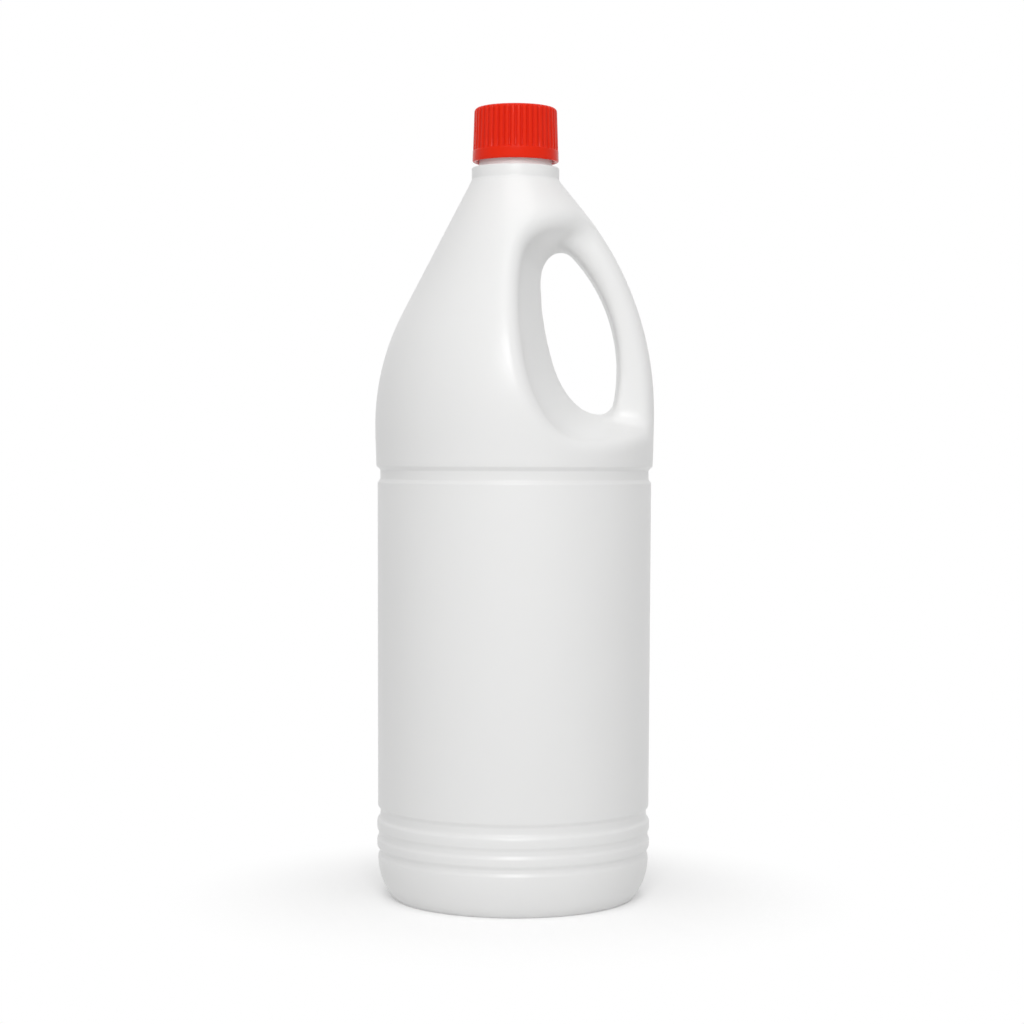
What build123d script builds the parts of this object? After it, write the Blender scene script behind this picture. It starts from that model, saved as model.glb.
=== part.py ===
from build123d import *

import os
from math import cos, hypot, pi, radians, sin, sqrt, tan

# A one-litre blow-moulded bottle with a hollow handle, and its ribbed screw cap.
# Millimetres, +Z up. The origin is on the bottle's axis at the surface it stands on.
# The handle is towards +X, and the finger hole runs along Y.

# Wall of the blow-moulded shell
wall = 0.9
floor_wall = 1.2

# Body: its radius is taken at the top of the label panel, and the other radii step from it
body_r = 44.0
panel_h = 103.8
panel_draft = 0.35
bead_step = 0.13
band_step = 0.5
belly_step = 0.85
belly_drop = 0.35

# Foot: the ring it stands on, the corner above it and the push-up inside it
foot_corner = 5.4
foot_edge = 0.7
foot_ring = 2.2
foot_slope = 3.0
dome_z = 3.2
push_up = 6.0

# Foot grooves, lowest first: height of the middle, depth below the beads, height of the floor
groove_z = (15.0, 20.55, 27.3)
groove_depth = (0.8, 0.5, 1.02)
groove_floor = (1.2, 1.5, 2.5)
groove_flank = 0.95
groove_round = 1.2

# Belt groove between the label panel and the lip of the belly
belt_depth = 0.85
belt_floor = 2.9
belt_low_flank = 1.2
belt_top_flank = 1.2
belt_round = 0.6
belt_lip = 1.8

# Shoulder: an arc and a cone, steeper at the back than along the handle
shoulder_h = 90.0
shoulder_sections = 12
back_crown_h = 11.6
back_cone_angle = 27.3
handle_crown_h = 15.6
handle_cone_angle = 38.7

# Finger hole on the mid plane, set from the lip, the collar and the handle's inner line
hole_rise = 16.35
hole_back_drop = 33.4
hole_width = 16.7
hole_back_radius = 80.0
hole_top_step = 7.0
hole_top_gap = 1.1
hole_bottom_gap = 8.9
hole_top_turn = 8.4
hole_bottom_turn = 8.2

# Recess that widens from the finger hole to the skin
recess_roof_angle = 24.0
recess_floor_angle = 9.0
recess_side_draft = 13.5
recess_end_draft = 13.4
recess_middle_drop = 1.5
recess_step = 14.5
recess_round = 4.2

# Handle: width across the mid plane at its middle and at its roots, and thickness along Y
handle_width = 9.6
handle_low_width = 11.15
handle_top_width = 10.6
handle_thickness = 19.2
handle_low_round = 1.5
handle_top_round = 9.0
handle_root_round = 5.0
handle_sections = 6

# Neck, with the bead and the collar below its thread
neck_r = 10.85
neck_wall = 1.85
neck_edge = 0.6
neck_bead_step = 0.9
neck_bead_h = 2.9
neck_chamfer = 0.9
collar_step = 2.3
collar_h = 3.9
collar_edge = 0.5

# Screw thread, on the neck and in the cap
pitch = 3.175
thread_turns = 1.5
thread_depth = 1.05
thread_root_half = 0.95
thread_crest_half = 0.45
thread_clearance = 0.2
thread_sink = 0.25
thread_below_rim = 8.0

# Cap
cap_gap = 1.8
cap_h = 17.3
cap_wall = 1.75
cap_top_wall = 1.6
cap_band_h = 3.5
cap_band_draft = 0.07
cap_ledge = 0.1
cap_draft = 0.43
cap_top_round = 1.4
cap_edge = 0.45
cap_lead_in = 0.6
rib_count = 44
rib_gap_share = 0.52
rib_depth = 0.4

# Seal liner
liner_h = 1.2
liner_clearance = 0.45
liner_edge = 0.2

# Radii that follow from the sizes above
foot_r = body_r - foot_corner
dome_r = foot_r - foot_ring - foot_slope
band_r = body_r - band_step
bead_r = body_r - bead_step
panel_low_r = body_r - panel_draft
belly_r = body_r + belly_step
lip_r = belly_r - belly_drop
neck_bead_r = neck_r + neck_bead_step
collar_r = neck_bead_r + collar_step
mouth_r = neck_r - neck_wall
cap_bore_r = neck_r + thread_depth + thread_clearance
cap_band_r = cap_bore_r + cap_wall
cap_skirt_r = cap_band_r - cap_band_draft - cap_ledge
cap_top_r = cap_skirt_r - cap_draft

# Heights that follow from the sizes above
band_z = groove_z[0] - groove_floor[0] / 2 - groove_flank - groove_round / 2
panel_top_z = groove_z[-1] + groove_floor[-1] / 2 + groove_flank + panel_h
belt_top_z = panel_top_z + belt_low_flank + belt_floor + belt_top_flank
lip_z = belt_top_z + belt_lip
back_crown_z = lip_z + back_crown_h
handle_crown_z = lip_z + handle_crown_h
collar_z = lip_z + shoulder_h
hole_bottom_z = lip_z + hole_rise
hole_back_z = collar_z - hole_back_drop
collar_top_z = collar_z + collar_h
cap_z = collar_top_z + cap_gap
cap_top_z = cap_z + cap_h
cap_ceiling_z = cap_top_z - cap_top_wall
rim_z = cap_ceiling_z - liner_h
thread_z = rim_z - thread_below_rim


def back_radius(z):
    """Radius of the shoulder on the side away from the handle."""
    return side_radius(z, back_cone_angle, back_crown_z)


def handle_radius(z):
    """Distance of the handle's outer line from the axis."""
    return side_radius(z, handle_cone_angle, handle_crown_z)


def side_radius(z, cone_angle, crown_z):
    """One side of the shoulder: crowned belly, then an arc that runs into a straight cone."""
    if z <= crown_z:
        return belly_r - belly_drop * ((crown_z - z) / (crown_z - lip_z)) ** 2
    slope = tan(radians(cone_angle))
    overshoot = collar_r + slope * (collar_z - crown_z) - belly_r
    arc_r = overshoot / (1 / cos(radians(cone_angle)) - 1)
    if z >= crown_z + arc_r * sin(radians(cone_angle)):
        return collar_r + slope * (collar_z - z)
    return belly_r - arc_r + sqrt(arc_r**2 - (z - crown_z) ** 2)


def turned(outline):
    """Solid turned about Z from an outline in (radius, height) that starts and ends on the axis."""
    section = make_face(Curve() + outline + [Line(outline[-1] @ 1, outline[0] @ 0)])
    return revolve(Plane.XZ * section, Axis.Z)


def groove_points(below_r, above_r, floor_r, z, height, low_flank, top_flank):
    """Outline of one groove, from the edge below it to the edge above it."""
    return [
        (below_r, z - height / 2 - low_flank),
        (floor_r, z - height / 2),
        (floor_r, z + height / 2),
        (above_r, z + height / 2 + top_flank),
    ]


def wall_points():
    """Outline of the wall from the top of the base band to the lip of the belly."""
    points = []
    edges = (band_r, bead_r, bead_r, panel_low_r)
    for i, z in enumerate(groove_z):
        floor_r = bead_r - groove_depth[i]
        points += groove_points(
            edges[i], edges[i + 1], floor_r, z, groove_floor[i], groove_flank, groove_flank
        )
    belt_z = panel_top_z + belt_low_flank + belt_floor / 2
    belt_top_r = lip_r - 2 * belly_drop * belt_lip / back_crown_h
    points += groove_points(
        body_r, belt_top_r, body_r - belt_depth, belt_z, belt_floor, belt_low_flank, belt_top_flank
    )
    return points + [(lip_r, lip_z)]


def lower_body(inset, floor):
    """Foot, panel and belt. The cavity is the same form, inset by the wall and the floor."""
    dome_end = (dome_r + inset / 2, dome_z + floor)
    ring_in = (foot_r - foot_ring + inset / 2, floor)
    ring_out = (foot_r - inset, floor)
    corner = (foot_r + foot_edge - inset, foot_edge + floor)
    band = (band_r - inset, band_z)
    points = [band] + [(r - inset, z) for r, z in wall_points()]
    corners = len(points) - 2
    rounds = [groove_round] * (corners - 4) + [belt_round] * 4
    outline = [
        TangentArc((0, push_up + floor), dome_end, tangent=(1, 0)),
        Line(dome_end, ring_in),
        Line(ring_in, ring_out),
        Line(ring_out, corner),
        TangentArc(band, corner, tangent=(0, -1)),
        FilletPolyline(*points, radius=rounds),
        Line(points[-1], (0, lip_z)),
    ]
    return turned(outline)


def shoulder_skin(inset):
    """Shoulder and belly: round sections that reach from the back line to the handle's line."""
    rings = []
    for i in range(shoulder_sections + 1):
        z = lip_z + (collar_z - lip_z) * i / shoulder_sections
        back, front = back_radius(z) - inset, handle_radius(z) - inset
        plane = Plane(origin=((front - back) / 2, 0, z), x_dir=(-1, 0, 0), z_dir=(0, 0, 1))
        rings.append(plane * Circle((front + back) / 2))
    return loft(Sketch() + rings)


def handle_inner_point(z, width):
    """Point inside the handle's outer line, square to it, by the handle's width."""
    step = wall / 100
    slope = (handle_radius(z + step) - handle_radius(z - step)) / (2 * step)
    square = hypot(1, slope)
    return handle_radius(z) - width / square, z + width * slope / square


def circle_through(a, b, c):
    """Centre and radius of the circle through three points."""
    squares = [x**2 + z**2 for x, z in (a, b, c)]
    twice = 2 * (a[0] * (b[1] - c[1]) + b[0] * (c[1] - a[1]) + c[0] * (a[1] - b[1]))
    x = squares[0] * (b[1] - c[1]) + squares[1] * (c[1] - a[1]) + squares[2] * (a[1] - b[1])
    z = squares[0] * (c[0] - b[0]) + squares[1] * (a[0] - c[0]) + squares[2] * (b[0] - a[0])
    centre = (x / twice, z / twice)
    return centre, hypot(a[0] - centre[0], a[1] - centre[1])


def handle_inner_circle():
    """Centre and radius of the arc that the handle's inner line follows."""
    widths = ((0.318, handle_low_width), (0.573, handle_width), (0.732, handle_top_width))
    return circle_through(
        *[handle_inner_point(lip_z + share * shoulder_h, width) for share, width in widths]
    )


def handle_inner_x(z):
    """Distance of the handle's inner line from the axis."""
    (centre_x, centre_z), radius = handle_inner_circle()
    return centre_x + sqrt(radius**2 - (z - centre_z) ** 2)


def hole_top():
    """Top of the finger hole, where the handle's inner line comes near enough to its back."""
    (centre_x, centre_z), radius = handle_inner_circle()
    x = handle_inner_x(hole_back_z) - hole_width + hole_top_step
    return x, centre_z + sqrt(radius**2 - (x + hole_top_gap - centre_x) ** 2)


def recess_outline(grow):
    """Points around the recess on the mid plane: the hole's back, its floor, far out, its roof."""
    top_x, hole_top_z = hole_top()
    span = hole_top_z - hole_bottom_z
    back_x = handle_inner_x(hole_back_z) - hole_width
    bottom_x = handle_inner_x(hole_bottom_z) - hole_bottom_gap
    back_span = span - hole_top_turn - hole_bottom_turn
    points = []
    for share in (1.0, 0.70, 0.35, 0.0):
        z = hole_bottom_z + hole_bottom_turn + share * back_span
        bow = hole_back_radius - sqrt(hole_back_radius**2 - (z - hole_back_z) ** 2)
        points.append((back_x + bow - grow, z))
    far_x = belly_r + recess_step
    floor = []
    for x in (bottom_x, bottom_x + recess_step, far_x):
        fall = (x - bottom_x) * tan(radians(recess_floor_angle))
        floor.append((x, hole_bottom_z - fall - grow))
    roof = []
    for x in (
        far_x,
        belly_r - 0.75 * recess_step,
        top_x + 0.28 * recess_step,
        top_x - 0.255 * recess_step - grow / 2,
    ):
        rise = (x - top_x) * tan(radians(recess_roof_angle))
        roof.append((x, hole_top_z + rise + grow))
    middle_z, far_r = (floor[-1][1] + roof[0][1]) / 2, (roof[0][1] - floor[-1][1]) / 2
    end = [(far_x + far_r * cos(radians(a)), middle_z + far_r * sin(radians(a))) for a in (-45, 0, 45)]
    return points + floor + end + roof


def recess_block(grow):
    """Front half of the recess, drafted from the mid plane out past the skin."""
    depth = far_x = belly_r + recess_step
    half_width = far_x - handle_inner_x(hole_back_z) + hole_width
    half_span = (hole_top()[1] - hole_bottom_z) / 2
    middle_z = hole_bottom_z + half_span - recess_middle_drop
    widen = 1 + depth * tan(radians(recess_side_draft)) / half_width
    heighten = 1 + depth * tan(radians(recess_end_draft)) / half_span
    wires = []
    for y, scale_x, scale_z in ((0, 1, 1), (-depth, widen, heighten)):
        points = []
        for x, z in recess_outline(grow):
            drafted_z = middle_z + scale_z * (z - middle_z)
            points.append(Vector(far_x + scale_x * (x - far_x), y, drafted_z))
        wires.append(Wire([Edge.make_spline(points, periodic=True)]))
    return Solid.make_loft(wires, ruled=True)


def handle_bar(inset):
    """What the recess leaves standing: a bar bent along the handle, rounder towards its top."""
    (x, z), circle_r = handle_inner_circle()
    half = handle_thickness / 2 - inset
    inner_r, outer_r = circle_r + inset, circle_r + 3 * belly_r
    corners = ((outer_r, half), (inner_r, half), (inner_r, -half), (outer_r, -half))
    bend = Axis((x, 0, z), (0, 1, 0))
    sections = []
    for i in range(handle_sections):
        share = i / (handle_sections - 1)
        round_r = handle_low_round + share**2.5 * (handle_top_round - handle_low_round)
        sides = FilletPolyline(*corners, radius=round_r - inset)
        section = Plane(origin=(x, 0, z)) * make_face(Curve() + [sides, Line(corners[-1], corners[0])])
        sections.append(section.rotate(bend, 35 - 105 * share))
    return loft(Sketch() + sections)


def recess_cutter(inset):
    """Both halves of the recess around the handle, rounded where the handle's roots run out."""
    half = handle_thickness / 2 - inset
    block = (recess_block(inset) - handle_bar(inset)).solid()
    roots = []
    for edge in block.faces().sort_by(SortBy.AREA)[-1].edges():
        if -half - 0.01 < edge.bounding_box().min.Y < -0.01:
            roots.append(edge)
    front = block.fillet(min(handle_root_round, 0.42 * hole_width) - inset, roots)
    return front.fuse(mirror(front, about=Plane.XZ))


def shoulder_form(inset):
    """Shoulder with the handle and its recess, and the recess's edge rounded into the skin."""
    form = (shoulder_skin(inset) - recess_cutter(inset)).solid()
    edges = []
    for edge in form.faces().sort_by(SortBy.AREA)[-1].edges():
        middle = edge @ 0.5
        if abs(middle.Y) > 1 and lip_z + 0.1 < middle.Z < collar_z - 0.1:
            edges.append(edge)
    return form.fillet(recess_round - inset, edges)


def neck_form():
    """Collar and neck, up to the rim of the mouth."""
    bead_z = collar_top_z + neck_bead_h
    points = (
        (collar_r, collar_z),
        (collar_r, collar_top_z),
        (neck_bead_r, collar_top_z),
        (neck_bead_r, bead_z),
        (neck_r, bead_z + neck_chamfer),
        (neck_r, rim_z),
        (0, rim_z),
    )
    rounds = [collar_edge, collar_edge / 2, collar_edge / 2, collar_edge / 2, neck_edge]
    return turned([Line((0, collar_z), points[0]), FilletPolyline(*points, radius=rounds)])


def neck_bore():
    """Cavity of the collar and neck."""
    throat_r = collar_r - wall
    points = (
        (throat_r, collar_z),
        (throat_r, collar_z + collar_h / 2),
        (mouth_r, collar_top_z),
        (mouth_r, rim_z),
    )
    rounds = [collar_h / 4, collar_h / 4]
    throat = FilletPolyline(*points, radius=rounds)
    return turned([Line((0, collar_z), points[0]), throat, Line(points[-1], (0, rim_z))])


def thread(base_r, depth, start_z):
    """Thread that stands on a round wall by depth: outwards, or inwards where it is negative."""
    helix = Pos(0, 0, start_z) * Helix(pitch, pitch * thread_turns, base_r)
    foot = -thread_sink if depth > 0 else thread_sink
    tooth = Polyline(
        (foot, -thread_root_half),
        (depth, -thread_crest_half),
        (depth, thread_crest_half),
        (foot, thread_root_half),
        close=True,
    )
    start = Plane(origin=helix @ 0, x_dir=(1, 0, 0), z_dir=helix % 0)
    return sweep(start * make_face(tooth), path=helix, is_frenet=True)


def hollowed(outer, cavity):
    """One shell of the outer skin and the cavity's skin, joined by the flat rim of the mouth."""
    outer_faces = outer.faces().sort_by(Axis.Z)
    cavity_faces = cavity.faces().sort_by(Axis.Z)
    rim = Face(outer_faces[-1].outer_wire(), [cavity_faces[-1].outer_wire()])
    return Solid(Shell(outer_faces[:-1] + cavity_faces[:-1] + [rim]))


def make_bottle():
    """The blow-moulded bottle, with its thread."""
    neck = neck_form() + thread(neck_r, thread_depth, thread_z)
    outer = (lower_body(0, 0) + shoulder_form(0) + neck).solid()
    cavity = (lower_body(wall, floor_wall) + shoulder_form(wall) + neck_bore()).solid()
    return hollowed(outer, cavity)


def make_cap():
    """The screw cap: a drafted skirt with ribs, a plain band below them and a thread inside."""
    band_top_z = cap_z + cap_band_h
    lead_in_r = cap_bore_r + cap_lead_in
    points = (
        (0, cap_ceiling_z),
        (cap_bore_r, cap_ceiling_z),
        (cap_bore_r, cap_z + 2 * cap_lead_in),
        (lead_in_r, cap_z),
        (cap_band_r, cap_z),
        (cap_skirt_r + cap_ledge, band_top_z),
        (cap_skirt_r, band_top_z + cap_ledge),
        (cap_top_r, cap_top_z),
        (0, cap_top_z),
    )
    ledge_round = cap_ledge / 2
    rounds = [cap_edge, cap_edge, cap_edge / 2, cap_edge, ledge_round, ledge_round, cap_top_round]
    shell = turned([FilletPolyline(*points, radius=rounds)])
    valley = Polyline(
        (cap_skirt_r - rib_depth, band_top_z + cap_ledge),
        (cap_top_r - rib_depth, cap_top_z),
        (cap_band_r + rib_depth, cap_top_z),
        (cap_band_r + rib_depth, band_top_z + cap_ledge),
        close=True,
    )
    rib_gap = rib_gap_share * 2 * pi * cap_top_r / rib_count
    slot = extrude(Plane.XZ * make_face(valley), rib_gap / 2, both=True)
    ribbed = shell - PolarLocations(0, rib_count) * slot
    return ribbed + thread(cap_bore_r, -thread_depth, thread_z - pitch / 2)


def make_seal_liner():
    """The foamed disc between the mouth's rim and the cap."""
    disc = Pos(0, 0, rim_z) * extrude(Circle(cap_bore_r - liner_clearance), liner_h)
    return fillet(disc.edges(), liner_edge)


os.makedirs("parts", exist_ok=True)
export_step(make_bottle(), "parts/bottle.step")
export_step(make_cap(), "parts/cap.step")
export_step(make_seal_liner(), "parts/seal_liner.step")
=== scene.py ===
"""Looks of a white blow-moulded drain cleaner bottle with a ribbed red screw cap.

Metres, +Z up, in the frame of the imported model: the bottle's axis is Z, its handle is towards
+X, and the camera looks along +Y.
"""

import logging
from dataclasses import dataclass
from enum import Enum
from math import acos, atan2, cos, hypot, pi, radians, sin, tan
from typing import Any, Sequence

import bmesh
import bpy
from bmesh.types import BMEdge, BMesh, BMVert
from mathutils import Matrix, Vector


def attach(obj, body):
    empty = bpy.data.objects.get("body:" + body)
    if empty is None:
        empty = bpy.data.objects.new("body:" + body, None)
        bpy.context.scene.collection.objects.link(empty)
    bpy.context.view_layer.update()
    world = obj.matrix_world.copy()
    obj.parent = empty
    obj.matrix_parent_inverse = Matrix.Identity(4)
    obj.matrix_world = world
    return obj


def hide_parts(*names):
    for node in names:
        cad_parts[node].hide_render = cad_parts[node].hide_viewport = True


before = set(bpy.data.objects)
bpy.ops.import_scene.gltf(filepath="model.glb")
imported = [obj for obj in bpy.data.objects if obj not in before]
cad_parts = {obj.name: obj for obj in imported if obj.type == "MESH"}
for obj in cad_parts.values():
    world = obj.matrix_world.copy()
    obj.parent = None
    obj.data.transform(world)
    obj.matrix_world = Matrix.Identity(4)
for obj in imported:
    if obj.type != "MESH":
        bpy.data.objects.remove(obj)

log = logging.getLogger("drain_cleaner_bottle")

MM = 0.001
MERGE_DIST = 1e-6
WHITE = (1.0, 1.0, 1.0, 1.0)
GROOVE = "groove"  # the cap's own attribute: depth of the grooves between its ribs, from 0 to 1, also the mask of the shade painted into the grooves

Point = tuple[float, float]
Ring = tuple[float, float, float]
Colour = tuple[float, float, float]


class Node(str, Enum):
    """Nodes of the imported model."""

    BOTTLE = "bottle"
    CAP = "cap"
    LINER = "seal_liner"


class Body(str, Enum):
    """Bodies that the pieces ride on."""

    BOTTLE = "bottle_body"
    CAP = "cap_body"


class Slot(str, Enum):
    """Material slots of the record."""

    BOTTLE = "bottle_plastic"
    CAP = "cap_plastic"


class Side(Enum):
    """Which way a thread stands on its wall."""

    OUTWARDS = 1
    INWARDS = -1


class Keep(Enum):
    """Which side of a level cut stays."""

    BELOW = 1.0
    ABOVE = -1.0


def new_piece(name: str, bm: BMesh) -> bpy.types.Object:
    """Turn a bmesh into a smooth-shaded object at the origin and free the bmesh.

    Args:
        name: Name of the object and of its mesh.
        bm: The finished shape, in metres, in the shared frame.

    Returns:
        The new object, linked to the scene.
    """
    mesh = bpy.data.meshes.new(name)
    bm.to_mesh(mesh)
    bm.free()
    mesh.shade_smooth()
    piece = bpy.data.objects.new(name, mesh)
    bpy.context.scene.collection.objects.link(piece)
    return piece


def arc(start: Point, end: Point, heading: Point, count: int) -> list[Point]:
    """Points along the arc that leaves a point in a given heading and ends at another.

    Args:
        start: Where the arc starts.
        end: Where it ends.
        heading: Unit direction of the arc at its start.
        count: Number of steps along the arc.

    Returns:
        The arc's points, with both of its ends.
    """
    dx, dy = end[0] - start[0], end[1] - start[1]
    left = (-heading[1], heading[0])
    radius = (dx * dx + dy * dy) / (2 * (dx * left[0] + dy * left[1]))
    centre = (start[0] + radius * left[0], start[1] + radius * left[1])
    first = atan2(start[1] - centre[1], start[0] - centre[0])
    sweep = atan2(end[1] - centre[1], end[0] - centre[0]) - first
    sweep -= 2 * pi * round(sweep / (2 * pi))
    reach = abs(radius)
    angles = [first + sweep * i / count for i in range(count + 1)]
    return [(centre[0] + reach * cos(angle), centre[1] + reach * sin(angle)) for angle in angles]


def rounded_profile(points: Sequence[Point], rounds: dict[int, float], segments: int = 4) -> BMesh:
    """A chain of edges in the XZ plane with some of its corners rounded.

    Args:
        points: Radius and height of each corner, in metres.
        rounds: Radius of the round at each corner that has one, by the corner's index.
        segments: Edges along each round.

    Returns:
        A bmesh that holds only the chain.
    """
    bm = bmesh.new()
    verts = [bm.verts.new((r, 0.0, z)) for r, z in points]
    for low, high in zip(verts, verts[1:]):
        bm.edges.new((low, high))
    offsets = {}
    for index, radius in rounds.items():
        corner = verts[index].co
        before = (verts[index - 1].co - corner).normalized()
        after = (verts[index + 1].co - corner).normalized()
        turn = pi - acos(max(-1.0, min(1.0, before.dot(after))))
        offsets[index] = radius * tan(turn / 2)
    for index, offset in offsets.items():
        bmesh.ops.bevel(
            bm,
            geom=[verts[index]],
            offset=offset,
            offset_type="OFFSET",
            affect="VERTICES",
            segments=segments,
            profile=0.5,
            material=-1,
        )
    return bm


def turn_about_axis(bm: BMesh, steps: int) -> None:
    """Spin all of a bmesh's edges a full turn about Z and close its poles.

    Args:
        bm: A bmesh that holds a chain of edges.
        steps: Number of steps around the axis.
    """
    bmesh.ops.spin(
        bm,
        geom=bm.verts[:] + bm.edges[:],
        cent=(0.0, 0.0, 0.0),
        axis=(0.0, 0.0, 1.0),
        angle=2 * pi,
        steps=steps,
        use_merge=True,
    )
    bmesh.ops.remove_doubles(bm, verts=bm.verts[:], dist=MERGE_DIST)


def add_mesh(bm: BMesh, other: BMesh) -> None:
    """Add another bmesh's geometry to a bmesh and free the other one.

    Args:
        bm: The bmesh that grows.
        other: The bmesh that is added.
    """
    mesh = bpy.data.meshes.new("handover")
    other.to_mesh(mesh)
    other.free()
    bm.from_mesh(mesh)
    bpy.data.meshes.remove(mesh)


def open_edges(bm: BMesh, low: float, high: float) -> list[BMEdge]:
    """Edges of one face only that lie between two heights.

    Args:
        bm: The bmesh with the open edges.
        low: Lowest height of their ends.
        high: Highest height of their ends.

    Returns:
        The edges, in the bmesh's own order.
    """
    return [
        edge
        for edge in bm.edges
        if edge.is_boundary and all(low <= vert.co.z <= high for vert in edge.verts)
    ]


def extrude_ring(bm: BMesh, ring: list[BMVert]) -> list[BMVert]:
    """Extrude a closed ring of vertices by one step.

    Args:
        bm: The bmesh that holds the ring.
        ring: The ring's vertices, in order.

    Returns:
        The new ring's vertices, in the same order and at the same place.
    """
    edges = [bm.edges.get(pair) for pair in zip(ring, ring[1:] + ring[:1])]
    made = bmesh.ops.extrude_edge_only(bm, edges=edges)["geom"]
    fresh = {item for item in made if isinstance(item, BMVert)}
    step = []
    for vert in ring:
        ends = (edge.other_vert(vert) for edge in vert.link_edges)
        step.append(next(end for end in ends if end in fresh))
    return step


@dataclass
class Thread:
    """A screw thread that stands on a round wall and runs out at both ends."""

    base_r: float
    start_z: float
    side: Side
    pitch: float = 3.175 * MM
    turns: float = 1.5
    depth: float = 1.05 * MM
    root_half: float = 0.95 * MM
    crest_half: float = 0.45 * MM
    sink: float = 0.12 * MM
    crest_soft: float = 0.2 * MM
    soft_share: float = 0.75
    steps: int = 84
    run_out: float = 0.09

    def section(self, share: float) -> list[Vector]:
        """Corners of the tooth at a share of the thread's length.

        Args:
            share: Place along the thread, from 0 to 1.

        Returns:
            The corners, from the lower foot over the crest to the upper foot.
        """
        ends = min(share, 1 - share) / self.run_out
        depth = self.depth * sin(min(ends, 1.0) * pi / 2)
        wide, narrow = self.crest_half + self.crest_soft, self.crest_half - self.crest_soft
        outline = (
            (-self.sink, -self.root_half),
            (self.soft_share * depth, -wide),
            (depth, -narrow),
            (depth, narrow),
            (self.soft_share * depth, wide),
            (-self.sink, self.root_half),
        )
        angle = 2 * pi * self.turns * share
        height = self.start_z + self.pitch * self.turns * share
        corners = []
        for out, up in outline:
            r = self.base_r + self.side.value * out
            corners.append(Vector((r * cos(angle), r * sin(angle), height + up)))
        return corners

    def build(self, bm: BMesh) -> None:
        """Add the thread to a bmesh as a closed ridge.

        Args:
            bm: The bmesh of the wall that carries the thread.
        """
        part = bmesh.new()
        ring = [part.verts.new(co) for co in self.section(0.0)]
        part.faces.new(ring)
        for step in range(1, self.steps + 1):
            ring = extrude_ring(part, ring)
            for vert, co in zip(ring, self.section(step / self.steps)):
                vert.co = co
        part.faces.new(ring)
        bmesh.ops.recalc_face_normals(part, faces=part.faces[:])
        add_mesh(bm, part)


def math_node(nodes: Any, operation: str) -> Any:
    """Add a Math node with its operation set.

    Args:
        nodes: Nodes of the group, material or world.
        operation: What the node works out.

    Returns:
        The new node.
    """
    node = nodes.new("ShaderNodeMath")
    node.operation = operation
    return node


def colour_mix(nodes: Any, second: Colour) -> Any:
    """Add a Mix node for colours with its second colour set.

    Args:
        nodes: Nodes of the material.
        second: The colour at a factor of 1.

    Returns:
        The new node.
    """
    node = nodes.new("ShaderNodeMix")
    node.data_type = "RGBA"
    node.inputs["B"].default_value = (*second, 1.0)
    return node


@dataclass
class SurfaceGrain:
    """Node group with the fine grain and the faint unevenness of a moulded surface."""

    name: str = "moulded_grain"
    fine_detail: float = 2.0
    broad_detail: float = 1.0

    def group(self) -> bpy.types.ShaderNodeTree:
        """Build the group on its first use.

        Returns:
            The group, with its height for the bump and its mottle for tone and gloss.
        """
        if self.name in bpy.data.node_groups:
            return bpy.data.node_groups[self.name]
        tree = bpy.data.node_groups.new(self.name, "ShaderNodeTree")
        face = tree.interface
        for label in ("Grain Scale", "Grain", "Wave Scale", "Wave"):
            face.new_socket(name=label, in_out="INPUT", socket_type="NodeSocketFloat")
        for label in ("Height", "Mottle"):
            face.new_socket(name=label, in_out="OUTPUT", socket_type="NodeSocketFloat")
        nodes, links = tree.nodes, tree.links
        given = nodes.new("NodeGroupInput")
        result = nodes.new("NodeGroupOutput")
        place = nodes.new("ShaderNodeTexCoord")
        fine = nodes.new("ShaderNodeTexNoise")
        fine.inputs["Detail"].default_value = self.fine_detail
        broad = nodes.new("ShaderNodeTexNoise")
        broad.inputs["Detail"].default_value = self.broad_detail
        fine_part = math_node(nodes, "MULTIPLY")
        total = math_node(nodes, "MULTIPLY_ADD")
        links.new(place.outputs["Object"], fine.inputs["Vector"])
        links.new(place.outputs["Object"], broad.inputs["Vector"])
        links.new(given.outputs["Grain Scale"], fine.inputs["Scale"])
        links.new(given.outputs["Wave Scale"], broad.inputs["Scale"])
        links.new(fine.outputs["Fac"], fine_part.inputs[0])
        links.new(given.outputs["Grain"], fine_part.inputs[1])
        links.new(broad.outputs["Fac"], total.inputs[0])
        links.new(given.outputs["Wave"], total.inputs[1])
        links.new(fine_part.outputs["Value"], total.inputs[2])
        links.new(total.outputs["Value"], result.inputs["Height"])
        links.new(broad.outputs["Fac"], result.inputs["Mottle"])
        return tree


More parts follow.
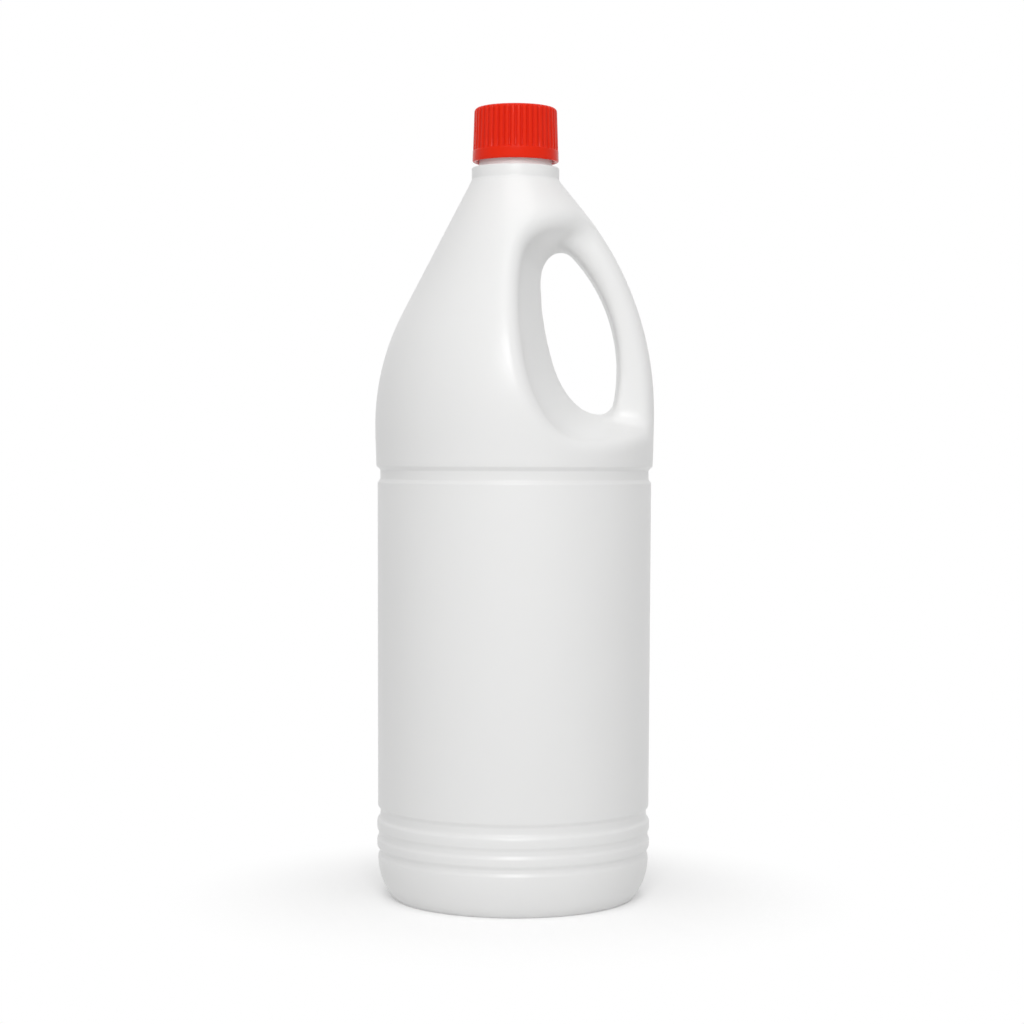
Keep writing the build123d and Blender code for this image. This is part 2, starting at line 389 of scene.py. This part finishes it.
@dataclass(frozen=True)
class MouldedPlastic:
    """Moulded plastic: two close tones and fine grain, with a parting line or painted shade in the grooves
    where set.
    """

    name: str
    tone: Colour
    shade: Colour
    roughness: tuple[float, float]
    ior: float
    grain_scale: float
    grain: float
    wave_scale: float
    wave: float
    bump: float
    bump_reach: float = 0.1 * MM
    specular: float = 0.5
    parting_line: float = 0.0
    line_flank: tuple[float, float] = (0.12 * MM, 0.3 * MM)
    # colour of the shade painted into the grooves between ribs, standing in for their shadow
    groove_painted_shade: Colour | None = None

    def material(self) -> bpy.types.Material:
        """Build the node material.

        Returns:
            The material, which reads Object coordinates and the cap's own attribute.
        """
        material = bpy.data.materials.new(self.name)
        material.use_nodes = True
        nodes, links = material.node_tree.nodes, material.node_tree.links
        shader = nodes["Principled BSDF"]
        shader.inputs["IOR"].default_value = self.ior
        shader.inputs["Specular IOR Level"].default_value = self.specular
        grain = nodes.new("ShaderNodeGroup")
        grain.node_tree = SurfaceGrain().group()
        grain.inputs["Grain Scale"].default_value = self.grain_scale
        grain.inputs["Grain"].default_value = self.grain
        grain.inputs["Wave Scale"].default_value = self.wave_scale
        grain.inputs["Wave"].default_value = self.wave
        tones = colour_mix(nodes, self.shade)
        tones.inputs["A"].default_value = (*self.tone, 1.0)
        gloss = nodes.new("ShaderNodeMapRange")
        gloss.inputs["To Min"].default_value = self.roughness[0]
        gloss.inputs["To Max"].default_value = self.roughness[1]
        bump = nodes.new("ShaderNodeBump")
        bump.inputs["Strength"].default_value = self.bump
        bump.inputs["Distance"].default_value = self.bump_reach
        links.new(grain.outputs["Mottle"], tones.inputs["Factor"])
        colour = tones.outputs["Result"]
        if self.groove_painted_shade:
            colour = self.add_painted_groove_shade(nodes, links, colour)
        links.new(colour, shader.inputs["Base Color"])
        links.new(grain.outputs["Mottle"], gloss.inputs["Value"])
        links.new(gloss.outputs["Result"], shader.inputs["Roughness"])
        height = grain.outputs["Height"]
        if self.parting_line > 0:
            height = self.add_parting_line(nodes, links, height)
        links.new(height, bump.inputs["Height"])
        links.new(bump.outputs["Normal"], shader.inputs["Normal"])
        return material

    def add_painted_groove_shade(self, nodes: Any, links: Any, colour: Any) -> Any:
        """Paint shade into the grooves between the ribs as a darker colour, masked by the piece's own
        groove-depth attribute.

        Args:
            nodes: The material's nodes.
            links: The material's links.
            colour: Output that holds the colour so far.

        Returns:
            The output that holds the colour with the painted shade in the grooves.
        """
        depth = nodes.new("ShaderNodeAttribute")
        depth.attribute_name = GROOVE
        # painted shade: a darker colour mixed in by groove depth, in place of the shadow in the grooves
        painted_shade_mix = colour_mix(nodes, self.groove_painted_shade)
        links.new(depth.outputs["Fac"], painted_shade_mix.inputs["Factor"])
        links.new(colour, painted_shade_mix.inputs["A"])
        return painted_shade_mix.outputs["Result"]

    def add_parting_line(self, nodes: Any, links: Any, height: Any) -> Any:
        """Raise a thin line where the two halves of the mould met, on the plane Y = 0.

        Args:
            nodes: The material's nodes.
            links: The material's links.
            height: Output that holds the height so far.

        Returns:
            The output that holds the height with the line on it.
        """
        place = nodes.new("ShaderNodeTexCoord")
        split = nodes.new("ShaderNodeSeparateXYZ")
        away = math_node(nodes, "ABSOLUTE")
        ridge = nodes.new("ShaderNodeMapRange")
        ridge.interpolation_type = "SMOOTHSTEP"
        ridge.inputs["From Min"].default_value, ridge.inputs["From Max"].default_value = self.line_flank
        ridge.inputs["To Min"].default_value = self.parting_line
        ridge.inputs["To Max"].default_value = 0.0
        total = math_node(nodes, "ADD")
        links.new(place.outputs["Object"], split.inputs["Vector"])
        links.new(split.outputs["Y"], away.inputs[0])
        links.new(away.outputs["Value"], ridge.inputs["Value"])
        links.new(ridge.outputs["Result"], total.inputs[0])
        links.new(height, total.inputs[1])
        return total.outputs["Value"]


WHITE_POLYETHYLENE = MouldedPlastic(
    name="white_polyethylene",
    tone=(0.92, 0.92, 0.915),
    shade=(0.90, 0.90, 0.895),
    roughness=(0.27, 0.35),
    ior=1.5,
    grain_scale=2400.0,
    grain=0.25,
    wave_scale=38.0,
    wave=1.2,
    bump=0.35,
    parting_line=1.4,
)
RED_POLYPROPYLENE = MouldedPlastic(
    name="red_polypropylene",
    tone=(0.90, 0.027, 0.006),
    shade=(0.84, 0.021, 0.004),
    roughness=(0.16, 0.24),
    ior=1.49,
    grain_scale=3000.0,
    grain=0.3,
    wave_scale=90.0,
    wave=0.5,
    bump=0.3,
    specular=0.1,
    # painted shade: darker red in the grooves between the ribs, where their shadow falls
    groove_painted_shade=(0.74, 0.016, 0.003),
)
FOAMED_POLYETHYLENE = MouldedPlastic(
    name="foamed_polyethylene",
    tone=(0.86, 0.86, 0.84),
    shade=(0.78, 0.78, 0.75),
    roughness=(0.55, 0.75),
    ior=1.5,
    grain_scale=1500.0,
    grain=1.0,
    wave_scale=160.0,
    wave=0.6,
    bump=0.6,
)


@dataclass
class BottleShell:
    """The blow-moulded shell: turned foot, panel and neck, and the moulded shoulder between them."""

    foot_r: float = 38.6 * MM
    foot_ring: float = 2.2 * MM
    foot_slope: float = 3.0 * MM
    foot_edge: float = 0.7 * MM
    ring_round: float = 0.5 * MM
    dome_z: float = 3.2 * MM
    dome_round: float = 1.5 * MM
    dome_steps: int = 14
    push_up: float = 6.0 * MM
    foot_steps: int = 18
    band_r: float = 43.5 * MM
    band_z: float = 12.85 * MM
    bead_r: float = 43.87 * MM
    groove_z: tuple[float, ...] = (15.0 * MM, 20.55 * MM, 27.3 * MM)
    groove_depth: tuple[float, ...] = (0.8 * MM, 0.5 * MM, 1.02 * MM)
    groove_floor: tuple[float, ...] = (1.2 * MM, 1.5 * MM, 2.5 * MM)
    groove_flank: float = 0.95 * MM
    groove_round: float = 1.2 * MM
    panel_low_r: float = 43.65 * MM
    panel_top_r: float = 44.0 * MM
    panel_top_z: float = 133.3 * MM
    belt_r: float = 43.15 * MM
    belt_floor: float = 2.9 * MM
    belt_low_flank: float = 1.2 * MM
    belt_top_flank: float = 1.2 * MM
    belt_round: float = 0.6 * MM
    lip_r: float = 44.42 * MM
    lip_z: float = 140.2 * MM
    lip_draft: float = 0.07 * MM
    shoulder_low_z: float = 141.0 * MM
    shoulder_top_z: float = 229.7 * MM
    shoulder_grain: float = 0.85 * MM
    shoulder_rounds: int = 15
    shoulder_ease: float = 0.5
    shoulder_spare: float = 0.3 * MM
    back_cone: float = 27.3
    handle_cone: float = 38.7
    run_on: float = 6.0 * MM
    collar_r: float = 14.05 * MM
    collar_low_z: float = 230.4 * MM
    collar_foot: float = 0.2 * MM
    collar_flare: float = 0.13 * MM
    collar_spare: float = 0.05 * MM
    collar_top_z: float = 234.3 * MM
    collar_edge: float = 0.5 * MM
    bead_ring_r: float = 11.75 * MM
    bead_ring_z: float = 237.2 * MM
    neck_edge: float = 0.25 * MM
    neck_r: float = 10.85 * MM
    neck_z: float = 238.1 * MM
    rim_z: float = 250.6 * MM
    rim_edge: float = 0.6 * MM
    mouth_r: float = 9.0 * MM
    throat_r: float = 13.15 * MM
    throat_z: float = 232.35 * MM
    throat_low_z: float = 231.0 * MM
    throat_rounds: tuple[float, float] = (1.0 * MM, 0.5 * MM)
    inside_top_z: float = 229.9 * MM
    thread_z: float = 242.6 * MM
    rim_reach: float = 0.5 * MM
    seam_reach: float = 0.05 * MM
    copy_merge: float = 2e-6
    cut_dist: float = 1e-7
    steps: int = 160
    finish: MouldedPlastic = WHITE_POLYETHYLENE

    def wall_bm(self) -> BMesh:
        """Foot, grooves, label panel and belt, turned from one outline.

        Returns:
            The outside of the bottle from the middle of the push-up to the lip of the belly.
        """
        slope_r = self.foot_r - self.foot_ring
        dome_r = slope_r - self.foot_slope
        corner = (self.foot_r + self.foot_edge, self.foot_edge)
        points = arc((0.0, self.push_up), (dome_r, self.dome_z), (1.0, 0.0), self.dome_steps)
        rounds = {len(points) - 1: self.dome_round}
        for r in (slope_r, self.foot_r):
            rounds[len(points)] = self.ring_round
            points.append((r, 0.0))
        points += arc((self.band_r, self.band_z), corner, (0.0, -1.0), self.foot_steps)[::-1]
        edges = (self.band_r, self.bead_r, self.bead_r, self.panel_low_r)
        for i, z in enumerate(self.groove_z):
            floor_r, half = self.bead_r - self.groove_depth[i], self.groove_floor[i] / 2
            for point in (
                (edges[i], z - half - self.groove_flank),
                (floor_r, z - half),
                (floor_r, z + half),
                (edges[i + 1], z + half + self.groove_flank),
            ):
                rounds[len(points)] = self.groove_round
                points.append(point)
        belt_z = self.panel_top_z + self.belt_low_flank
        for point in (
            (self.panel_top_r, self.panel_top_z),
            (self.belt_r, belt_z),
            (self.belt_r, belt_z + self.belt_floor),
            (self.lip_r, belt_z + self.belt_floor + self.belt_top_flank),
        ):
            rounds[len(points)] = self.belt_round
            points.append(point)
        points.append((self.lip_r + self.lip_draft, self.lip_z))
        bm = rounded_profile(points, rounds)
        turn_about_axis(bm, self.steps)
        return bm

    def neck_bm(self) -> BMesh:
        """Collar, neck, rim and bore, turned from one outline.

        Returns:
            The neck from the collar's wall up over the rim and down to the throat.
        """
        foot = self.collar_foot
        points = (
            (self.collar_r + self.collar_flare, self.collar_low_z - foot),
            (self.collar_r, self.collar_low_z),
            (self.collar_r, self.collar_low_z + 2 * foot),
            (self.collar_r, self.collar_top_z),
            (self.bead_ring_r, self.collar_top_z),
            (self.bead_ring_r, self.bead_ring_z),
            (self.neck_r, self.neck_z),
            (self.neck_r, self.rim_z),
            (self.mouth_r, self.rim_z),
            (self.mouth_r, self.collar_top_z),
            (self.throat_r, self.throat_z),
            (self.throat_r, self.throat_low_z),
        )
        rounds = {3: self.collar_edge, **dict.fromkeys((4, 5, 6), self.neck_edge)}
        rounds.update({7: self.rim_edge, 8: self.neck_edge})
        rounds.update(zip((9, 10), self.throat_rounds))
        bm = rounded_profile(points, rounds)
        turn_about_axis(bm, self.steps)
        return bm

    def solid_copy(self, top_z: float) -> BMesh:
        """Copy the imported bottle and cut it, so that its two skins are apart.

        Args:
            top_z: Height of the cut, below the neck.

        Returns:
            The merged copy of what is below the cut.
        """
        bm = bmesh.new()
        bm.from_mesh(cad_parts[Node.BOTTLE.value].data)
        bmesh.ops.remove_doubles(bm, verts=bm.verts[:], dist=self.copy_merge)
        self.cut(bm, top_z, Keep.BELOW)
        return bm

    def cut(self, bm: BMesh, z: float, keep: Keep) -> None:
        """Cut a bmesh at a height and remove one side.

        Args:
            bm: The bmesh to cut.
            z: Height of the cut.
            keep: The side that stays.
        """
        bmesh.ops.bisect_plane(
            bm,
            geom=bm.verts[:] + bm.edges[:] + bm.faces[:],
            plane_co=(0.0, 0.0, z),
            plane_no=(0.0, 0.0, keep.value),
            dist=self.cut_dist,
            clear_outer=True,
        )

    @staticmethod
    def keep_skin(bm: BMesh, seed: BMVert) -> None:
        """Remove every face of a bmesh that isn't joined to one of its vertices.

        Args:
            bm: The bmesh with more than one skin.
            seed: A vertex on the skin to keep.
        """
        reached = {seed}
        front = [seed]
        while front:
            vert = front.pop()
            for edge in vert.link_edges:
                other = edge.other_vert(vert)
                if other not in reached:
                    reached.add(other)
                    front.append(other)
        bmesh.ops.delete(bm, geom=[vert for vert in bm.verts if vert not in reached], context="VERTS")

    def shoulder_bm(self) -> BMesh:
        """Shoulder, recess and handle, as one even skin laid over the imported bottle.

        Returns:
            The outside between the lip of the belly and the collar, open at both ends.
        """
        bm = self.solid_copy(self.collar_low_z - self.collar_spare)
        self.cut(bm, self.shoulder_low_z - self.shoulder_spare, Keep.ABOVE)
        self.keep_skin(bm, max(bm.verts, key=lambda vert: vert.co.x))
        back, front = (self.run_on * tan(radians(a)) for a in (self.back_cone, self.handle_cone))
        slim = 1 - (back + front) / 2 / self.collar_r
        for z, rise, shift, scale in (
            (self.shoulder_low_z, -self.run_on, 0.0, 1.0),
            (self.collar_low_z, self.run_on, (back - front) / 2, slim),
        ):
            rim = open_edges(bm, z - self.rim_reach, z + self.rim_reach)
            made = bmesh.ops.extrude_edge_only(bm, edges=rim)["geom"]
            ring = [item for item in made if isinstance(item, BMVert)]
            bmesh.ops.scale(bm, verts=ring, vec=(scale, scale, 1.0))
            bmesh.ops.translate(bm, verts=ring, vec=(shift, 0.0, rise))
            bmesh.ops.holes_fill(bm, edges=[item for item in made if isinstance(item, BMEdge)], sides=0)
        bmesh.ops.recalc_face_normals(bm, faces=bm.faces[:])
        rough = new_piece("shoulder_rough", bm)
        remesh = rough.modifiers.new("even_skin", "REMESH")
        remesh.mode = "VOXEL"
        remesh.voxel_size = self.shoulder_grain
        shaped = rough.evaluated_get(bpy.context.evaluated_depsgraph_get())
        even = bmesh.new()
        even.from_mesh(shaped.to_mesh())
        shaped.to_mesh_clear()
        bpy.data.meshes.remove(rough.data)
        for _ in range(self.shoulder_rounds):
            bmesh.ops.smooth_vert(
                even,
                verts=even.verts[:],
                factor=self.shoulder_ease,
                use_axis_x=True,
                use_axis_y=True,
                use_axis_z=True,
            )
        self.cut(even, self.shoulder_low_z, Keep.ABOVE)
        self.cut(even, self.shoulder_top_z, Keep.BELOW)
        return even

    def inside_bm(self) -> BMesh:
        """The wall of the hollow below the throat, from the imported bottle.

        Returns:
            The inner skin, open at its top.
        """
        bm = self.solid_copy(self.inside_top_z)
        top = (vert for vert in bm.verts if vert.co.z > self.inside_top_z - MERGE_DIST)
        self.keep_skin(bm, min(top, key=lambda vert: hypot(vert.co.x, vert.co.y)))
        return bm

    def build(self) -> bpy.types.Object:
        """Join the turned and moulded zones into one closed shell.

        Returns:
            The finished bottle.
        """
        bm = self.wall_bm()
        for zone in (self.shoulder_bm(), self.neck_bm(), self.inside_bm()):
            add_mesh(bm, zone)
        reach = self.seam_reach
        for low, high in (
            (self.lip_z, self.shoulder_low_z),
            (self.shoulder_top_z, self.collar_low_z - self.collar_foot),
            (self.inside_top_z, self.throat_low_z),
        ):
            loops = [open_edges(bm, z - reach, z + reach) for z in (low, high)]
            bmesh.ops.bridge_loops(bm, edges=loops[0] + loops[1])
        bmesh.ops.recalc_face_normals(bm, faces=bm.faces[:])
        Thread(base_r=self.neck_r, start_z=self.thread_z, side=Side.OUTWARDS).build(bm)
        piece = new_piece("bottle_shell", bm)
        return self.dress(piece)

    def dress(self, piece: bpy.types.Object) -> bpy.types.Object:
        """Give the bottle its finish and its place in the frame.

        Args:
            piece: The bottle's object.

        Returns:
            The same object.
        """
        piece.data.materials.append(self.finish.material())
        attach(piece, Body.BOTTLE.value)
        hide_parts(Node.BOTTLE.value)
        return piece


@dataclass
class ScrewCap:
    """The ribbed cap, drawn as rings from its ceiling down its bore and up its ribbed outside."""

    low_z: float = 236.1 * MM
    top_z: float = 253.395 * MM
    ceiling_z: float = 251.8 * MM
    bore_r: float = 12.1 * MM
    bore_steps: int = 4
    lead_in: tuple[Point, ...] = (
        (0.0, 1.2 * MM),
        (0.3 * MM, 0.6 * MM),
        (0.54 * MM, 0.15 * MM),
        (0.75 * MM, 0.0),
    )
    band_r: float = 13.85 * MM
    band_h: float = 3.5 * MM
    band_steps: int = 5
    edge: float = 0.45 * MM
    ledge: tuple[Ring, ...] = (
        (0.11 * MM, -0.12 * MM, 0.0),
        (0.1 * MM, 0.0, 0.0),
        (0.03 * MM, 0.05 * MM, 0.15),
        (0.0, 0.1 * MM, 0.55),
        (-0.01 * MM, 0.45 * MM, 1.0),
    )
    skirt_r: float = 13.68 * MM
    skirt_shares: tuple[float, ...] = (0.25, 0.5, 0.75, 1.0)
    top_r: float = 13.25 * MM
    top_round: float = 1.4 * MM
    top_steps: int = 8
    top_shares: tuple[float, ...] = (0.8, 0.55, 0.3, 0.12)
    thread_z: float = 241.0125 * MM
    ribs: int = 44
    rib_depth: float = 0.4 * MM
    steps_per_rib: int = 12
    groove_shape: tuple[float, ...] = (1.0, 1.0, 0.9, 0.15, 0.0, 0.0, 0.0)
    finish: MouldedPlastic = RED_POLYPROPYLENE

    def valley(self, index: int) -> float:
        """Depth of the outside at a vertex, from 0 on a rib to 1 in the groove beside it."""
        step = index % self.steps_per_rib
        return self.groove_shape[min(step, self.steps_per_rib - step)]

    def rings(self) -> list[Ring]:
        """Radius, height and groove depth of each ring, from the ceiling to the top.

        Returns:
            The rings in the order in which they are drawn.
        """
        ceiling = (self.bore_r - self.edge, self.ceiling_z)
        under_band = (self.band_r - self.edge, self.low_z)
        plain = arc(ceiling, (self.bore_r, self.ceiling_z - self.edge), (1.0, 0.0), self.bore_steps)
        plain += [(self.bore_r + out, self.low_z + up) for out, up in self.lead_in]
        plain += arc(under_band, (self.band_r, self.low_z + self.edge), (1.0, 0.0), self.band_steps)
        rings = [(r, z, 0.0) for r, z in plain]
        band_z = self.low_z + self.band_h
        rings += [(self.skirt_r + out, band_z + up, groove) for out, up, groove in self.ledge]
        slope = (self.skirt_r - self.top_r) / (self.top_z - band_z)
        for share in self.skirt_shares:
            z = band_z + share * (self.top_z - self.top_round - band_z)
            rings.append((self.skirt_r - slope * (z - band_z), z, 1.0))
        r, z, _ = rings[-1]
        crown = arc((r, z), (r - self.top_round, self.top_z), (0.0, 1.0), self.top_steps)
        rings += [(*point, 1.0 - i / self.top_steps) for i, point in enumerate(crown) if i > 0]
        rings += [(self.top_r * share, self.top_z, 0.0) for share in self.top_shares]
        return rings

    def build(self) -> bpy.types.Object:
        """Draw the rings one after another and close both ends.

        Returns:
            The finished cap.
        """
        bm = bmesh.new()
        bm.verts.layers.float.new(GROOVE)
        count = self.ribs * self.steps_per_rib
        rings = self.rings()
        bmesh.ops.create_circle(bm, cap_ends=True, segments=count, radius=1.0)
        face = bm.faces[:][0]
        ring = [loop.vert for loop in face.loops]
        self.place(bm, ring, rings[0])
        bmesh.ops.poke(bm, faces=[face])
        for spec in rings[1:]:
            ring = extrude_ring(bm, ring)
            self.place(bm, ring, spec)
        lid = [bm.faces.new(ring)]
        bmesh.ops.poke(bm, faces=lid)
        bmesh.ops.recalc_face_normals(bm, faces=bm.faces[:])
        Thread(base_r=self.bore_r, start_z=self.thread_z, side=Side.INWARDS).build(bm)
        piece = new_piece("screw_cap", bm)
        return self.dress(piece)

    def place(self, bm: BMesh, ring: list[BMVert], spec: Ring) -> None:
        """Put a ring's vertices at its radius and height, with the ribs' grooves in it.

        Args:
            bm: The cap's bmesh, which keeps the grooves' depth at each vertex, also the mask of the
                painted groove shade.
            ring: The ring's vertices in order.
            spec: Radius, height and groove depth of the ring.
        """
        radius, z, groove = spec
        depths = bm.verts.layers.float[GROOVE]
        for index, vert in enumerate(ring):
            # the groove depth shapes the ribs and also masks the painted shade in the grooves
            vert[depths] = groove * self.valley(index)
            r = radius - self.rib_depth * vert[depths]
            angle = 2 * pi * index / len(ring)
            vert.co = (r * cos(angle), r * sin(angle), z)

    def dress(self, piece: bpy.types.Object) -> bpy.types.Object:
        """Give the cap its finish and its place in the frame.

        Args:
            piece: The cap's object.

        Returns:
            The same object.
        """
        piece.data.materials.append(self.finish.material())
        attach(piece, Body.CAP.value)
        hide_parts(Node.CAP.value)
        return piece


@dataclass
class SealLiner:
    """The foamed disc in the cap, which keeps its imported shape."""

    finish: MouldedPlastic = FOAMED_POLYETHYLENE

    def dress(self) -> bpy.types.Object:
        """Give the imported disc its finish.

        Returns:
            The disc's object.
        """
        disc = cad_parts[Node.LINER.value]
        disc.data.materials.clear()
        disc.data.materials.append(self.finish.material())
        return disc


def seen_rays(nodes: Any, links: Any) -> Any:
    """Output that is 1 on rays from the camera, a reflection or a see-through surface.

    Args:
        nodes: Nodes of the material or world.
        links: Its links.

    Returns:
        The socket with the value.
    """
    path = nodes.new("ShaderNodeLightPath")
    seen = path.outputs["Is Camera Ray"]
    for ray in ("Is Glossy Ray", "Is Transmission Ray"):
        either = math_node(nodes, "MAXIMUM")
        links.new(seen, either.inputs[0])
        links.new(path.outputs[ray], either.inputs[1])
        seen = either.outputs["Value"]
    return seen


@dataclass(frozen=True)
class SoftBox:
    """A soft studio lamp that hangs at an azimuth and elevation around the bottle."""

    name: str
    azimuth: float
    elevation: float
    distance: float
    size: tuple[float, float]
    power: float

    def hang(self, aim: Vector) -> None:
        """Make the lamp and turn it to a point.

        Args:
            aim: The point that the lamp faces.
        """
        level = cos(radians(self.elevation))
        away = Vector(
            (
                level * sin(radians(self.azimuth)),
                -level * cos(radians(self.azimuth)),
                sin(radians(self.elevation)),
            )
        )
        light = bpy.data.lights.new(self.name, "AREA")
        light.shape = "RECTANGLE"
        light.size, light.size_y = self.size
        light.energy = self.power
        lamp = bpy.data.objects.new(self.name, light)
        lamp.location = aim + self.distance * away
        lamp.rotation_euler = away.to_track_quat("Z", "Y").to_euler()
        bpy.context.scene.collection.objects.link(lamp)


@dataclass
class Studio:
    """White sweep, soft light from above the camera, and the camera."""

    floor_half: float = 6.0
    floor_z: float = -0.05 * MM
    floor_tone: Colour = (0.9, 0.9, 0.9)
    floor_lift: float = 0.24
    shadow_reach: tuple[float, float] = (0.046, 0.115)
    ambient: float = 0.36
    lamps: tuple[SoftBox, ...] = (
        SoftBox("front_softbox", 0.0, 30.0, 1.4, (0.5, 0.5), 5.8),
        SoftBox("high_softbox", 0.0, 66.0, 1.4, (0.8, 0.8), 2.1),
        SoftBox("top_softbox", 0.0, 89.0, 1.3, (0.8, 0.8), 2.8),
        SoftBox("fill_softbox", 0.0, 6.0, 1.7, (2.4, 1.2), 2.6),
    )
    aim: tuple[float, float, float] = (0.0, 0.0, 0.13)
    camera_place: tuple[float, float, float] = (-0.74 * MM, -746.2 * MM, 143.1 * MM)
    camera_pitch: float = 1.479
    camera_roll: float = 0.207
    sensor: float = 36.0
    lens: float = 81.4

    def floor_material(self) -> bpy.types.Material:
        """Matt white that takes the shadow near the bottle and fades to the white surround.

        Returns:
            The floor's material.
        """
        material = bpy.data.materials.new("white_sweep")
        material.use_nodes = True
        nodes, links = material.node_tree.nodes, material.node_tree.links
        shader = nodes["Principled BSDF"]
        shader.inputs["Base Color"].default_value = (*self.floor_tone, 1.0)
        shader.inputs["Roughness"].default_value = 1.0
        shader.inputs["Specular IOR Level"].default_value = 0.0
        shader.inputs["Emission Color"].default_value = WHITE
        lift = math_node(nodes, "MULTIPLY")
        lift.inputs[1].default_value = self.floor_lift
        links.new(seen_rays(nodes, links), lift.inputs[0])
        links.new(lift.outputs["Value"], shader.inputs["Emission Strength"])
        white = nodes.new("ShaderNodeEmission")
        place = nodes.new("ShaderNodeTexCoord")
        away = nodes.new("ShaderNodeVectorMath")
        away.operation = "LENGTH"
        fade = nodes.new("ShaderNodeMapRange")
        fade.interpolation_type = "SMOOTHSTEP"
        fade.inputs["From Min"].default_value, fade.inputs["From Max"].default_value = self.shadow_reach
        far = math_node(nodes, "MULTIPLY")
        pick = nodes.new("ShaderNodeMixShader")
        links.new(place.outputs["Object"], away.inputs[0])
        links.new(away.outputs["Value"], fade.inputs["Value"])
        links.new(fade.outputs["Result"], far.inputs[0])
        links.new(seen_rays(nodes, links), far.inputs[1])
        links.new(far.outputs["Value"], pick.inputs["Fac"])
        links.new(shader.outputs["BSDF"], pick.inputs[1])
        links.new(white.outputs["Emission"], pick.inputs[2])
        links.new(pick.outputs["Shader"], nodes["Material Output"].inputs["Surface"])
        return material

    def build_floor(self) -> None:
        """Lay the floor, which looks white to the camera and keeps the bottle's shadow."""
        bm = bmesh.new()
        bmesh.ops.create_grid(bm, x_segments=1, y_segments=1, size=self.floor_half)
        bmesh.ops.translate(bm, verts=bm.verts[:], vec=(0.0, 0.0, self.floor_z))
        floor = new_piece("studio_floor", bm)
        floor.data.materials.append(self.floor_material())

    def build_world(self) -> None:
        """Set an even surround that the camera and reflections see as white."""
        world = bpy.data.worlds.new("white_surround")
        bpy.context.scene.world = world
        world.use_nodes = True
        nodes, links = world.node_tree.nodes, world.node_tree.links
        seen = nodes["Background"]
        seen.inputs["Color"].default_value = WHITE
        soft = nodes.new("ShaderNodeBackground")
        soft.inputs["Color"].default_value = WHITE
        soft.inputs["Strength"].default_value = self.ambient
        pick = nodes.new("ShaderNodeMixShader")
        links.new(seen_rays(nodes, links), pick.inputs["Fac"])
        links.new(soft.outputs["Background"], pick.inputs[1])
        links.new(seen.outputs["Background"], pick.inputs[2])
        links.new(pick.outputs["Shader"], nodes["World Output"].inputs["Surface"])

    def build_camera(self) -> None:
        """Stand the camera where the photograph was taken from."""
        data = bpy.data.cameras.new("photo_camera")
        data.sensor_fit = "HORIZONTAL"
        data.sensor_width = self.sensor
        data.lens = self.lens
        camera = bpy.data.objects.new("photo_camera", data)
        level = Matrix.Rotation(radians(90.0 - self.camera_pitch), 4, "X")
        roll = Matrix.Rotation(radians(self.camera_roll), 4, "Z")
        camera.matrix_world = Matrix.Translation(self.camera_place) @ level @ roll
        bpy.context.scene.collection.objects.link(camera)
        bpy.context.scene.camera = camera

    def build(self) -> None:
        """Build the floor, the light and the camera."""
        self.build_floor()
        self.build_world()
        for lamp in self.lamps:
            lamp.hang(Vector(self.aim))
        self.build_camera()
        bpy.context.scene.view_settings.view_transform = "Standard"


def main() -> None:
    """Build the pieces in order."""
    logging.basicConfig(level=logging.INFO, format="%(name)s: %(message)s")
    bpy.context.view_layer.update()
    for assembly in (BottleShell(), ScrewCap()):
        piece = assembly.build()
        piece.data.calc_loop_triangles()
        log.info("%s: %d triangles", piece.name, len(piece.data.loop_triangles))
    log.info("%s: packed shape, new finish", SealLiner().dress().name)
    Studio().build()


if __name__ == "__main__":
    main()
